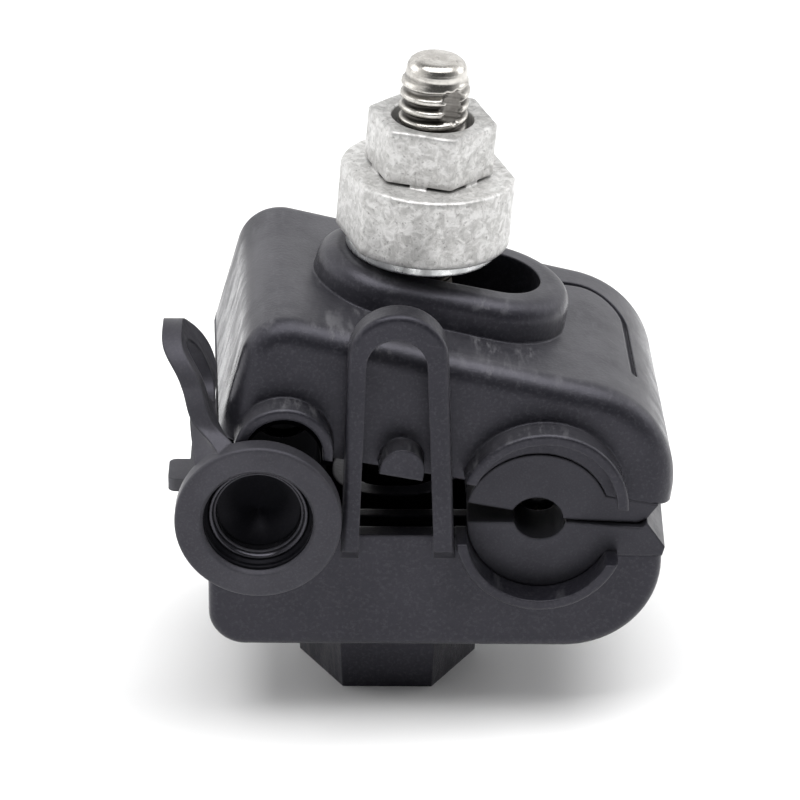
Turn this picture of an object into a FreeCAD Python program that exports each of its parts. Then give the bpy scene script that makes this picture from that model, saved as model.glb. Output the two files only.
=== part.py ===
"""Insulation piercing branch clamp, in millimetres.

+X runs across the clamp from the tap groove to the main groove, +Y away from the
viewer along both grooves, +Z up along the bolt. The origin is the centre of the
bottom face of the hexagonal foot. Both jaws are modelled closed, and the upper jaw
with its seals and blades is then swung open about a hinge line near the right mouth.
That line is tilted, because the open jaw also lies slightly askew. The bolt with its
washer and nut leans after the jaw.
"""

import FreeCAD, Part
import math
import os

from FreeCAD import Base

Vector = Base.Vector

# Pose in which the clamp lies: jaw swung open, bolt leaning with it
JAW_TILT = 11.7
JAW_ASKEW = 2.7
HINGE_X = 19.65
HINGE_Z = 32.0
CLOSED_SET_BACK = 0.3
BOLT_LEAN = 4.3

# Lower jaw moulding
LOWER_LEFT = -20.5
LOWER_RIGHT = 31.3
LOWER_BOTTOM = 10.1
TAP_SPLIT = 28.2
LOWER_LIP = 3.5
LOWER_TOP = TAP_SPLIT - LOWER_LIP
MOUTH_SILL = 22.3
HALF_DEPTH = 17.5
WALL = 2.2
LOWER_LEFT_RADIUS = 4.2
LOWER_RIGHT_RADIUS = 11.0
LOWER_EDGE = 1.2

# Hexagonal foot with the pocket of the bolt head
FOOT_FLATS = 18.0
FOOT_DRAFT = 4.0
POCKET_DEPTH = 7.3

# Bolt, M8 with a 13 mm hexagon
BOLT_RADIUS = 3.95
BOLT_HEAD_FLATS = 13.0
BOLT_HEAD_HEIGHT = 5.3
BOLT_HEAD_BOTTOM = 1.2
BOLT_LENGTH = 69.9
BOLT_TIP_CHAMFER = 1.0
BOLT_PIVOT_Z = 4.0
HEAD_CLEARANCE = 0.2
SHANK_CLEARANCE = 0.4

# Washer and shear head nut, heights along the bolt
WASHER_HEIGHT = 49.15
WASHER_RADIUS = 8.7
WASHER_THICKNESS = 1.4
WASHER_BORE = 4.2
NUT_RADIUS = 10.0
NUT_FLATS = 18.2
NUT_BARREL = 8.4
NUT_THREAD_RADIUS = 4.0
NUT_NECK_RADIUS = 5.9
NUT_NECK = 0.35
NUT_HEX_FLATS = 13.0
NUT_HEX = 6.2
NUT_CLEARANCE_RADIUS = 4.7
NUT_TURN = -10.6
NUT_EDGE = 0.5
NUT_HEX_EDGE = 0.45

# Conductor grooves and their rubber seals; the split is the flat top of a lower seal
JAW_GAP = 0.3
MAIN_X = 17.3
MAIN_SPLIT = 26.5
MAIN_GROOVE = 3.1
GROOVE_SHIFT = 0.95
MAIN_SEAL_RADIUS = 8.3
LOWER_SEAL_Z = 26.6
UPPER_SEAL_Z = 26.1
TAP_X = -12.6
TAP_GROOVE = 4.3
TAP_SEAL_RADIUS = 5.5
SEAL_FIT = 0.1
SEAL_BRIDGE = 1.2
UPPER_LIP = 1.1
UPPER_BOTTOM = TAP_SPLIT + JAW_GAP + UPPER_LIP

# Tails of the main seal that make the right mouth
LOWER_TAIL_X = 20.3
UPPER_TAIL_X = 21.0
TAIL_LOW_X = 28.6
TAIL_DIP = 0.65
TAIL_RISE = 1.05
MOUTH_X = 29.5
TIP_X = 31.6
TIP_Z = 23.4
TAIL_GRIP = 0.9
TAIL_TOP_Z = UPPER_BOTTOM + TAIL_GRIP

# Lips of the tap seals with the rail and the tab that stand out on the left
LIP_RAIL_REACH = 2.4
LIP_RAIL_DROP = 0.7
LIP_RAIL_TOP = TAP_SPLIT - LIP_RAIL_DROP
LIP_RAIL_FRONT_Y = -6.5
LIP_RAIL_BACK_Y = 9.0
TAB_REACH = 4.8
TAB_FRONT_Y = -9.3
TAB_BACK_Y = -4.2
TAB_THICKNESS = 1.6

# Collars that stand out round the grooves
LOWER_REACH = 3.5
UPPER_REACH = 3.05
MAIN_COLLAR_RADIUS = 9.65
MAIN_COLLAR_WALL = 1.25
TAP_COLLAR_RADIUS = 5.65
TAP_COLLAR_WALL = 1.2
LOWER_COLLAR_TOP = 25.4
LOWER_COLLAR_NOTCH = 22.8
UPPER_COLLAR_BOTTOM = 30.6
MAIN_COLLAR_Z = 28.8
TAP_COLLAR_X = -13.0
TAP_COLLAR_Z = 30.4

# Latch loop of the lower jaw
LOOP_CENTRE_X = 1.15
LOOP_TOP = 54.2
LOOP_WIDTH_TOP = 11.3
LOOP_WIDTH_BOTTOM = 13.0
WINDOW_CENTRE_X = 1.0
WINDOW_WIDTH_TOP = 6.8
WINDOW_WIDTH_BOTTOM = 8.8
LOOP_CROWN = 2.9
LOOP_THICKNESS = 3.1
LOOP_GAP = 0.8
LOOP_ROOT = 21.8
LOOP_EDGE = 0.7

# Upper jaw moulding, closed
UPPER_LEFT = -20.1
UPPER_RIGHT = 32.2
UPPER_TOP_LEFT = 44.9
UPPER_TOP_RIGHT = 42.4
UPPER_LEFT_DRAFT = 1.0
UPPER_RIGHT_DRAFT = 0.7
UPPER_LEFT_RADIUS = 5.0
UPPER_RIGHT_RADIUS = 12.2
UPPER_HALF_DEPTH = 17.4
UPPER_FACE_DRAFT = 1.4
UPPER_EDGE = 2.7
ROOF = 2.6

# Slotted oval boss
SLOT_LEFT_X = -2.6
SLOT_RIGHT_X = 8.8
SLOT_RADIUS = 5.3
BOSS_RADIUS = 9.4
BOSS_DRAFT = 4.0
BOSS_TOP = 47.95
BOSS_SLOPE = 1.0
BOSS_EDGE = 2.2
TUNNEL_WALL = 1.8

# Latch nub and the shallow groove on the right shoulder
NUB_X = 0.5
NUB_WIDTH = 5.0
NUB_HEIGHT = 3.4
NUB_BOTTOM = 30.1
GROOVE_WIDTH = 0.8
GROOVE_DEPTH = 0.4
GROOVE_X = 26.05
GROOVE_FRONT_Y = -7.0
GROOVE_BACK_Y = 11.0
GROOVE_BEND = 5.5

# Contact blades
BLADE_THICKNESS = 2.0
BLADE_Y = 9.4
BLADE_FIT = 0.1
BLADE_BOTTOM = 14.6
BLADE_WAIST = 4.2
BLADE_TOWER = 6.4
TOOTH_DEPTH = 1.6
TOOTH_COUNT = 3
TOOTH_RECESS = 0.3
UPPER_BLADE_TOP = 39.6
POST_LENGTH = 3.0
POST_LEFT_X = -6.5
POST_RIGHT_X = 10.5
POST_WALL = 1.6
POST_GRIP = 4.0
GUIDE_TOP = 24.4

# Rubber end cap
CAP_CENTRE_X = -14.5
CAP_CENTRE_Z = 29.9
CAP_RADIUS = 9.4
CAP_FRONT = -24.5
CAP_FLANGE = 2.5
CAP_HUB_RADIUS = 6.9
CAP_HUB_RELIEF = 0.5
CAP_MOUTH = 6.2
CAP_BEVEL = 0.4
CAP_BORE = 4.85
CAP_LIP_FIT = 0.15
CAP_LIP_WALL = 0.85
CAP_LIP_LEFT = -14.6
CAP_LIP_TOP = 26.4
CAP_LIP_END = -12.0
STRAP_THICKNESS = 2.2
STRAP_SLOT_Y = -14.7
STRAP_SLOT_WIDTH = 5.2
STRAP_SLOT_LOW = 40.7
STRAP_SLOT_HIGH = 47.7
STRAP_TOP = 49.4

# Strap of the cap, from the flange up: centre x, y, z, width, and turn from the X axis
STRAP_STATIONS = [
    (-18.9, -23.1, 34.0, 4.0, 5.0),
    (-19.1, -22.8, 35.5, 4.1, 20.0),
    (-19.35, -21.6, 37.5, 5.0, 46.0),
    (-20.05, -18.3, 39.1, 8.0, 72.0),
    (-20.75, -14.8, 41.0, 11.6, 92.0),
    (-21.35, -13.7, 43.1, 12.6, 92.0),
    (-22.45, -13.7, 45.8, 12.6, 90.0),
    (-23.5, -13.7, 47.4, 12.6, 90.0),
    (-24.1, -13.7, 50.0, 12.6, 90.0)]


def rounded_wire(corners, place):
    """Closed wire through corners (u, v, radius), each corner rounded by an arc."""
    count = len(corners)
    starts = []
    ends = []
    mids = []
    for i in range(count):
        here = Vector(corners[i][0], corners[i][1], 0)
        before = Vector(corners[i - 1][0], corners[i - 1][1], 0)
        after = Vector(corners[(i + 1) % count][0], corners[(i + 1) % count][1], 0)
        radius = corners[i][2]
        back = (before - here).normalize()
        forth = (after - here).normalize()
        half = back.getAngle(forth) / 2
        reach = radius / math.tan(half)
        starts.append(here + back * reach)
        ends.append(here + forth * reach)
        middle = (back + forth).normalize() if radius else back
        mids.append(here + middle * (radius / math.sin(half) - radius))
    edges = []
    for i in range(count):
        if corners[i][2]:
            edges.append(Part.Arc(place(starts[i]), place(mids[i]), place(ends[i])).toShape())
        following = starts[(i + 1) % count]
        if (following - ends[i]).Length > 1e-6:
            edges.append(Part.LineSegment(place(ends[i]), place(following)).toShape())
    return Part.Wire(edges)


def xz_prism(corners, y_low, y_high):
    """Prism along Y of a rounded outline given in X and Z."""
    wire = rounded_wire(corners, lambda p: Vector(p.x, y_low, p.y))
    return Part.Face(wire).extrude(Vector(0, y_high - y_low, 0))


def xy_prism(corners, z_low, z_high):
    """Prism along Z of a rounded outline given in X and Y."""
    wire = rounded_wire(corners, lambda p: Vector(p.x, p.y, z_low))
    return Part.Face(wire).extrude(Vector(0, 0, z_high - z_low))


def block(x_low, x_high, y_low, y_high, z_low, z_high):
    """Plain box between two corners."""
    size = (x_high - x_low, y_high - y_low, z_high - z_low)
    return Part.makeBox(*size, Vector(x_low, y_low, z_low))


def bar(x, z, radius, y_low, y_high):
    """Round bar along Y."""
    return Part.makeCylinder(radius, y_high - y_low, Vector(x, y_low, z), Vector(0, 1, 0))


def rod(radius, z_low, z_high):
    """Round rod along Z on the bolt's axis."""
    return Part.makeCylinder(radius, z_high - z_low, Vector(0, 0, z_low))


def hexagon(flats, z, turn=0.0):
    """Hexagonal wire with one flat square to -Y, turned about Z in degrees."""
    corner = flats / math.sqrt(3)
    points = []
    for i in range(7):
        angle = math.radians(60 * i + turn)
        points.append(Vector(corner * math.cos(angle), corner * math.sin(angle), z))
    return Part.makePolygon(points)


def hex_prism(flats, z_low, z_high, turn=0.0):
    """Hexagonal prism about the bolt's axis."""
    return Part.Face(hexagon(flats, z_low, turn)).extrude(Vector(0, 0, z_high - z_low))


def oval_wire(radius, z):
    """Oval round the slot's two centres, at height z."""
    left = SLOT_LEFT_X
    right = SLOT_RIGHT_X
    near = Part.LineSegment(Vector(left, -radius, z), Vector(right, -radius, z)).toShape()
    nose = Part.Arc(Vector(right, -radius, z), Vector(right + radius, 0, z), Vector(right, radius, z))
    far = Part.LineSegment(Vector(right, radius, z), Vector(left, radius, z)).toShape()
    heel = Part.Arc(Vector(left, radius, z), Vector(left - radius, 0, z), Vector(left, -radius, z))
    return Part.Wire([near, nose.toShape(), far, heel.toShape()])


def oval_prism(radius, z_low, z_high):
    """Upright oval prism."""
    return Part.Face(oval_wire(radius, z_low)).extrude(Vector(0, 0, z_high - z_low))


def both_ends(shape):
    """The shape with its mirror image at the other end of the grooves."""
    return shape.fuse(shape.mirror(Vector(0, 0, 0), Vector(0, 1, 0)))


def edges_at(shape, test):
    """Edges whose middle point and ends all satisfy test."""
    found = []
    for edge in shape.Edges:
        points = [edge.valueAt(edge.FirstParameter), edge.valueAt(edge.LastParameter)]
        points.append(edge.valueAt((edge.FirstParameter + edge.LastParameter) / 2))
        if all(test(p) for p in points):
            found.append(edge)
    return found


def collar(x, z, radius, wall, z_low, z_high, face, reach):
    """Half ring standing out of the front face round a groove, cut off between two heights."""
    front = -face - reach
    root = -face + WALL / 2
    ring = bar(x, z, radius, front, root)
    ring = ring.makeFillet(wall / 3, edges_at(ring, lambda p: abs(p.y - front) < 0.01))
    ring = ring.cut(bar(x, z, radius - wall, front - 1, root + 1))
    return ring.common(block(x - 20, x + 20, front - 1, root + 1, z_low, z_high))


def lean(shape):
    """The bolt, washer or nut leaned over as the clamp lies."""
    shape.rotate(Vector(0, 0, BOLT_PIVOT_Z), Vector(0, 1, 0), BOLT_LEAN)
    return shape


def swing(shape):
    """A piece of the upper jaw moved from the closed to the open pose."""
    hinge = Vector(HINGE_X, 0, HINGE_Z)
    shape.translate(Vector(0, CLOSED_SET_BACK, 0))
    shape.rotate(hinge, Vector(0, 1, 0), JAW_TILT)
    shape.rotate(hinge, Vector(0, 0, 1), JAW_ASKEW)
    return shape


def loop_outline(centre, width_top, width_bottom, top, bottom):
    """Outline of the latch loop or its window: an arch on two spreading legs."""
    radius = width_top / 2
    springing = top - radius
    left = centre - radius
    right = centre + radius
    foot = width_bottom / 2
    ends = (Vector(left, 0, springing), Vector(right, 0, springing))
    crown = Part.Arc(ends[0], Vector(centre, 0, top), ends[1]).toShape()
    legs = Part.makePolygon([
        ends[1], Vector(centre + foot, 0, bottom), Vector(centre - foot, 0, bottom), ends[0]])
    return Part.Wire([crown] + legs.Edges)


def latch_loop():
    """Loop moulded on the lower jaw, whose two legs run out on the front face."""
    front = -HALF_DEPTH - LOOP_GAP - LOOP_THICKNESS
    depth = LOOP_THICKNESS + LOOP_GAP + WALL / 2
    outer = loop_outline(LOOP_CENTRE_X, LOOP_WIDTH_TOP, LOOP_WIDTH_BOTTOM, LOOP_TOP, LOOP_ROOT)
    loop = Part.Face(outer).extrude(Vector(0, depth, 0))
    loop.translate(Vector(0, front, 0))
    rim = edges_at(loop, lambda p: abs(p.y - front) < 0.01)
    rim = [edge for edge in rim if edge.BoundBox.ZMax > LOOP_ROOT + 0.1]
    loop = loop.makeFillet(LOOP_EDGE, rim)
    inner = loop_outline(
        WINDOW_CENTRE_X, WINDOW_WIDTH_TOP, WINDOW_WIDTH_BOTTOM, LOOP_TOP - LOOP_CROWN, LOOP_ROOT - 1)
    window = Part.Face(inner).extrude(Vector(0, depth + 2, 0))
    window.translate(Vector(0, front - 1, 0))
    loop = loop.cut(window)
    loop = loop.cut(block(-20, 20, -HALF_DEPTH - LOOP_GAP, 0, LOWER_TOP - 0.01, LOOP_TOP + 1))
    ramp = Part.makePolygon([
        Vector(-20, front - 1, LOWER_TOP), Vector(-20, front, LOWER_TOP),
        Vector(-20, -HALF_DEPTH, LOOP_ROOT), Vector(-20, -HALF_DEPTH, LOOP_ROOT - 1),
        Vector(-20, front - 1, LOOP_ROOT - 1), Vector(-20, front - 1, LOWER_TOP)])
    return loop.cut(Part.Face(ramp).extrude(Vector(40, 0, 0)))


def blade_seat(back, open_end, wall_low, wall_high):
    """Posts and a long guide rib that hold the back of both blades of one jaw."""
    pieces = []
    slot_half = BLADE_THICKNESS / 2 + BLADE_FIT
    z_low = min(back, open_end)
    z_high = max(back, open_end)
    for side in (-1, 1):
        inner = side * (BLADE_Y - slot_half)
        outer = side * (BLADE_Y + slot_half)
        rib_y = sorted((outer, outer + side * POST_WALL))
        post_y = sorted((inner, inner - side * POST_WALL))
        pieces.append(block(LOWER_LEFT, LOWER_RIGHT, rib_y[0], rib_y[1], wall_low, wall_high))
        for x in (POST_LEFT_X, POST_RIGHT_X):
            x_low = x - POST_LENGTH / 2
            x_high = x + POST_LENGTH / 2
            pieces.append(block(x_low, x_high, post_y[0], post_y[1], z_low, z_high))
            heel = sorted((back, wall_low if open_end > back else wall_high))
            ends = sorted((inner, outer))
            pieces.append(block(x_low, x_high, ends[0], ends[1], heel[0], heel[1]))
            pieces.append(block(x_low, x_high, post_y[0], post_y[1], heel[0], heel[1]))
    return pieces


def shank_slot(z_low, z_high, wall):
    """Room for the bolt's shank, long enough across the clamp for it to lean."""
    reach = math.tan(math.radians(BOLT_LEAN)) * (LOWER_TOP - BOLT_PIVOT_Z)
    half = BOLT_RADIUS + SHANK_CLEARANCE + wall
    round_off = half * 0.9
    outline = [
        (-half, -half, round_off), (half + reach, -half, round_off),
        (half + reach, half, round_off), (-half, half, round_off)]
    return xy_prism(outline, z_low, z_high)


def lower_outline(inset):
    """Outline of the lower tray, moved inwards by inset."""
    return [
        (LOWER_LEFT + inset, LOWER_TOP + 5, 0),
        (LOWER_LEFT + inset, LOWER_BOTTOM + inset, LOWER_LEFT_RADIUS - inset),
        (LOWER_RIGHT - inset, LOWER_BOTTOM + inset, LOWER_RIGHT_RADIUS - inset),
        (LOWER_RIGHT - inset, LOWER_TOP + 5, 0)]


def make_lower_body():
    """Lower jaw: a deep open tray on a hexagonal foot."""
    body = xz_prism(lower_outline(0), -HALF_DEPTH, HALF_DEPTH)
    rim = edges_at(body, lambda p: abs(abs(p.y) - HALF_DEPTH) < 0.01)
    rim = [edge for edge in rim if edge.BoundBox.ZMin < LOWER_TOP]
    body = body.makeFillet(LOWER_EDGE, rim)
    body = body.cut(block(-40, 60, -30, 30, LOWER_TOP, LOWER_TOP + 10))
    body = body.cut(block(MAIN_X, 60, -30, 30, MOUTH_SILL, LOWER_TOP + 10))
    hollow = xz_prism(lower_outline(WALL), -HALF_DEPTH + WALL, HALF_DEPTH - WALL)
    body = body.cut(hollow)

    inside = xz_prism(lower_outline(WALL / 2), -HALF_DEPTH + WALL / 2, HALF_DEPTH - WALL / 2)
    inside = inside.cut(block(MAIN_X, 60, -30, 30, MOUTH_SILL - 0.5, LOWER_TOP + 10))
    pillar = shank_slot(LOWER_BOTTOM + WALL / 2, LOWER_TOP - 0.5, WALL)
    seats = blade_seat(BLADE_BOTTOM, BLADE_BOTTOM + POST_GRIP, LOWER_BOTTOM + WALL / 2, GUIDE_TOP)
    additions = [pillar]
    for seat in seats:
        additions.append(seat.common(inside))

    foot_top = FOOT_FLATS + 2 * LOWER_BOTTOM * math.tan(math.radians(FOOT_DRAFT))
    foot = Part.makeLoft([hexagon(FOOT_FLATS, 0), hexagon(foot_top, LOWER_BOTTOM + WALL / 2)], True, True)
    additions.append(foot)

    main_ring = collar(MAIN_X, LOWER_SEAL_Z, MAIN_COLLAR_RADIUS, MAIN_COLLAR_WALL,
                       LOWER_BOTTOM, LOWER_COLLAR_TOP, HALF_DEPTH, LOWER_REACH)
    notch = block(MAIN_X, MAIN_X + 20, -HALF_DEPTH - 10, 0, LOWER_COLLAR_NOTCH, LOWER_TOP + 5)
    additions.append(both_ends(main_ring.cut(notch)))
    tap_ring = collar(TAP_X, TAP_SPLIT, TAP_COLLAR_RADIUS, TAP_COLLAR_WALL,
                      LOWER_BOTTOM, LOWER_COLLAR_TOP, HALF_DEPTH, LOWER_REACH)
    additions.append(both_ends(tap_ring))
    additions.append(latch_loop())
    body = body.multiFuse(additions)

    body = body.cut(hex_prism(BOLT_HEAD_FLATS + 2 * HEAD_CLEARANCE, -1, POCKET_DEPTH))
    body = body.cut(shank_slot(0, LOWER_TOP + 1, 0))
    deep = HALF_DEPTH + 0.01
    body = body.cut(bar(MAIN_X, LOWER_SEAL_Z, MAIN_SEAL_RADIUS + SEAL_FIT, -deep, deep))
    body = body.cut(bar(TAP_X, TAP_SPLIT, TAP_SEAL_RADIUS + SEAL_FIT, -deep, deep))
    body = body.cut(block(MAIN_X, 60, -deep, deep, MOUTH_SILL, LOWER_TOP + 10))
    return body.removeSplitter()


def groove_cut(x, z, radius):
    """Bar that cuts a conductor groove right through a seal."""
    return bar(x, z, radius, -HALF_DEPTH - 5, HALF_DEPTH + 5)


def blade_slots(x, z_low, z_high):
    """Slots across a seal through which the teeth of both blades reach the groove."""
    half = BLADE_THICKNESS / 2 + BLADE_FIT
    wide = BLADE_TOWER / 2 + BLADE_FIT
    front = block(x - wide, x + wide, -BLADE_Y - half, -BLADE_Y + half, z_low, z_high)
    rear = block(x - wide, x + wide, BLADE_Y - half, BLADE_Y + half, z_low, z_high)
    return front.fuse(rear)


def make_main_seal_lower():
    """Lower half of the main seal, with the lower lip of the mouth."""
    disc = bar(MAIN_X, LOWER_SEAL_Z, MAIN_SEAL_RADIUS, -HALF_DEPTH, HALF_DEPTH)
    disc = disc.common(block(0, 60, -30, 30, 0, MAIN_SPLIT))
    tail_low = MAIN_SPLIT - TAIL_DIP
    tail = xz_prism([
        (MAIN_X, MAIN_SPLIT, 0), (MAIN_X, MOUTH_SILL, 0), (TIP_X - 0.3, MOUTH_SILL, 0),
        (TIP_X, TIP_Z, 0), (MOUTH_X, MAIN_SPLIT, 0), (TAIL_LOW_X + 0.4, tail_low + 0.1, 0),
        (TAIL_LOW_X, tail_low, 0), (LOWER_TAIL_X, MAIN_SPLIT, 0)], -HALF_DEPTH, HALF_DEPTH)
    dip = xz_prism([
        (LOWER_TAIL_X, MAIN_SPLIT, 0), (TAIL_LOW_X, tail_low, 0), (TAIL_LOW_X, MAIN_SPLIT + 1, 0),
        (LOWER_TAIL_X, MAIN_SPLIT + 1, 0)], -HALF_DEPTH - 1, HALF_DEPTH + 1)
    seal = disc.cut(dip).fuse(tail).removeSplitter()
    seal = seal.cut(groove_cut(MAIN_X, MAIN_SPLIT + GROOVE_SHIFT, MAIN_GROOVE))
    return seal.cut(blade_slots(MAIN_X, 0, MAIN_SPLIT - SEAL_BRIDGE))


def make_main_seal_upper():
    """Upper half of the main seal; its tail is bevelled so that the open jaw can lie on it."""
    split = MAIN_SPLIT + JAW_GAP
    face = UPPER_HALF_DEPTH
    disc = bar(MAIN_X, UPPER_SEAL_Z, MAIN_SEAL_RADIUS, -face, face)
    tail = block(MAIN_X, UPPER_RIGHT, -face, face, split, TAIL_TOP_Z)
    envelope = xz_prism([
        (0, split, 0), (UPPER_TAIL_X, split, 0), (TAIL_LOW_X, split + TAIL_RISE, 0),
        (MOUTH_X, split + TAIL_RISE + 0.5, 0), (MOUTH_X + 1.0, TAIL_TOP_Z, 0),
        (MOUTH_X + 1.0, 60, 0), (0, 60, 0)], -face, face)
    seal = disc.fuse(tail).common(envelope).removeSplitter()
    seal = seal.cut(groove_cut(MAIN_X, split - GROOVE_SHIFT, MAIN_GROOVE))
    return seal.cut(blade_slots(MAIN_X, split + SEAL_BRIDGE, 60))


def make_tap_seal_lower():
    """Lower half of the tap seal, with its lip, outer rail and the small tab on it."""
    disc = bar(TAP_X, TAP_SPLIT, TAP_SEAL_RADIUS, -HALF_DEPTH, HALF_DEPTH)
    disc = disc.common(block(-40, 0, -30, 30, 0, TAP_SPLIT))
    lip = block(LOWER_LEFT, TAP_X, -HALF_DEPTH + WALL, HALF_DEPTH - WALL, LOWER_TOP, TAP_SPLIT)
    rail_left = LOWER_LEFT - LIP_RAIL_REACH
    rail = xy_prism([
        (rail_left, LIP_RAIL_FRONT_Y, 0.6), (TAP_X, LIP_RAIL_FRONT_Y, 0),
        (TAP_X, LIP_RAIL_BACK_Y, 0), (rail_left, LIP_RAIL_BACK_Y, 0.6)],
        LIP_RAIL_TOP - TAB_THICKNESS, LIP_RAIL_TOP)
    tab_left = LOWER_LEFT - TAB_REACH
    tab = xy_prism([
        (tab_left, TAB_FRONT_Y, 0.9), (TAP_X, TAB_FRONT_Y, 0),
        (TAP_X, TAB_BACK_Y, 0), (tab_left, TAB_BACK_Y, 0.9)],
        LIP_RAIL_TOP - TAB_THICKNESS, LIP_RAIL_TOP)
    seal = disc.multiFuse([lip, rail, tab]).removeSplitter()
    seal = seal.cut(groove_cut(TAP_X, TAP_SPLIT, TAP_GROOVE))
    return seal.cut(blade_slots(TAP_X, 0, TAP_SPLIT - SEAL_BRIDGE))


def make_tap_seal_upper():
    """Upper half of the tap seal, with the lip under the left wall of the jaw."""
    split = TAP_SPLIT + JAW_GAP
    face = UPPER_HALF_DEPTH
    disc = bar(TAP_X, split, TAP_SEAL_RADIUS, -face, face)
    disc = disc.common(block(-40, 0, -30, 30, split, 60))
    lip = block(UPPER_LEFT, TAP_X, -face + WALL, face - WALL, split, UPPER_BOTTOM)
    seal = disc.fuse(lip).removeSplitter()
    seal = seal.cut(groove_cut(TAP_X, split, TAP_GROOVE))
    return seal.cut(blade_slots(TAP_X, split + SEAL_BRIDGE, 60))


def tooth_line(x, z, groove, up):
    """Points of a row of teeth whose tips follow a groove; up is 1 for a lower blade."""
    points = []
    step = BLADE_TOWER / (2 * TOOTH_COUNT)
    reach = groove + TOOTH_RECESS
    for i in range(2 * TOOTH_COUNT + 1):
        across = i * step - BLADE_TOWER / 2
        inside = min(abs(across), reach * 0.8)
        dip = math.sqrt(reach ** 2 - inside ** 2)
        root = TOOTH_DEPTH if i % 2 == 0 else 0
        points.append(Vector(x + across, 0, z - up * (dip + root)))
    return points


def make_blade(side, up):
    """Stamped contact blade with teeth at both grooves; up is 1 in the lower jaw."""
    if up > 0:
        back = BLADE_BOTTOM
        tap = tooth_line(TAP_X, TAP_SPLIT, TAP_GROOVE, up)
        main = tooth_line(MAIN_X, MAIN_SPLIT + GROOVE_SHIFT, MAIN_GROOVE, up)
    else:
        back = UPPER_BLADE_TOP
        tap = tooth_line(TAP_X, TAP_SPLIT + JAW_GAP, TAP_GROOVE, up)
        main = tooth_line(MAIN_X, MAIN_SPLIT + JAW_GAP - GROOVE_SHIFT, MAIN_GROOVE, up)
    waist = back + up * BLADE_WAIST
    half = BLADE_TOWER / 2
    points = [Vector(TAP_X - half, 0, back)] + tap
    points += [Vector(TAP_X + half, 0, waist), Vector(MAIN_X - half, 0, waist)]
    points += main
    points += [Vector(MAIN_X + half, 0, back), Vector(TAP_X - half, 0, back)]
    blade = Part.Face(Part.makePolygon(points)).extrude(Vector(0, BLADE_THICKNESS, 0))
    blade.translate(Vector(0, side * BLADE_Y - BLADE_THICKNESS / 2, 0))
    return blade


def upper_outline(inset):
    """Rounded outline of the upper jaw, moved inwards by inset."""
    top_right = UPPER_RIGHT - UPPER_RIGHT_DRAFT - inset
    top_left = UPPER_LEFT + UPPER_LEFT_DRAFT + inset
    return [
        (UPPER_LEFT + inset, UPPER_BOTTOM, 0),
        (UPPER_RIGHT - inset, UPPER_BOTTOM, 0),
        (top_right, UPPER_TOP_RIGHT - inset, UPPER_RIGHT_RADIUS - inset),
        (top_left, UPPER_TOP_LEFT - inset, UPPER_LEFT_RADIUS - inset)]


def drafted_slab(half_depth, z_low, z_high):
    """Slab along X whose front and back faces lean in towards the top."""
    near = half_depth + math.tan(math.radians(UPPER_FACE_DRAFT)) * (UPPER_BOTTOM - z_low)
    far = half_depth - math.tan(math.radians(UPPER_FACE_DRAFT)) * (z_high - UPPER_BOTTOM)
    points = [
        Vector(-40, -near, z_low), Vector(-40, near, z_low),
        Vector(-40, far, z_high), Vector(-40, -far, z_high), Vector(-40, -near, z_low)]
    return Part.Face(Part.makePolygon(points)).extrude(Vector(90, 0, 0))


def shoulder_groove(outer):
    """Shallow groove that runs over the right shoulder and bends round behind the boss."""
    skin = outer.cut(xz_prism(upper_outline(GROOVE_DEPTH), -30, 30))
    half = GROOVE_WIDTH / 2
    centre_x = GROOVE_X - GROOVE_BEND
    bend_y = GROOVE_BACK_Y - GROOVE_BEND
    ring = Part.makeCylinder(GROOVE_BEND + half, 30, Vector(centre_x, bend_y, 30))
    ring = ring.cut(Part.makeCylinder(GROOVE_BEND - half, 30, Vector(centre_x, bend_y, 30)))
    ring = ring.common(block(centre_x - 4.5, centre_x + 10, bend_y, bend_y + 10, 30, 60))
    run = block(GROOVE_X - half, GROOVE_X + half, GROOVE_FRONT_Y, bend_y, 30, 60)
    tip = Part.makeCylinder(half, 30, Vector(GROOVE_X, GROOVE_FRONT_Y, 30))
    return ring.multiFuse([run, tip]).common(skin)


def oval_boss():
    """Drafted, rounded boss round the slot, its rim sloping a little to the right."""
    foot_z = UPPER_TOP_RIGHT - 1
    narrowing = math.tan(math.radians(BOSS_DRAFT)) * (BOSS_TOP - foot_z)
    boss = Part.makeLoft([
        oval_wire(BOSS_RADIUS, foot_z), oval_wire(BOSS_RADIUS - narrowing, BOSS_TOP)], True, True)
    boss = boss.makeFillet(BOSS_EDGE, edges_at(boss, lambda p: p.z > BOSS_TOP - 0.01))
    middle = (SLOT_LEFT_X + SLOT_RIGHT_X) / 2
    boss.rotate(Vector(middle, 0, BOSS_TOP), Vector(0, 1, 0), BOSS_SLOPE)
    return boss


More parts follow.
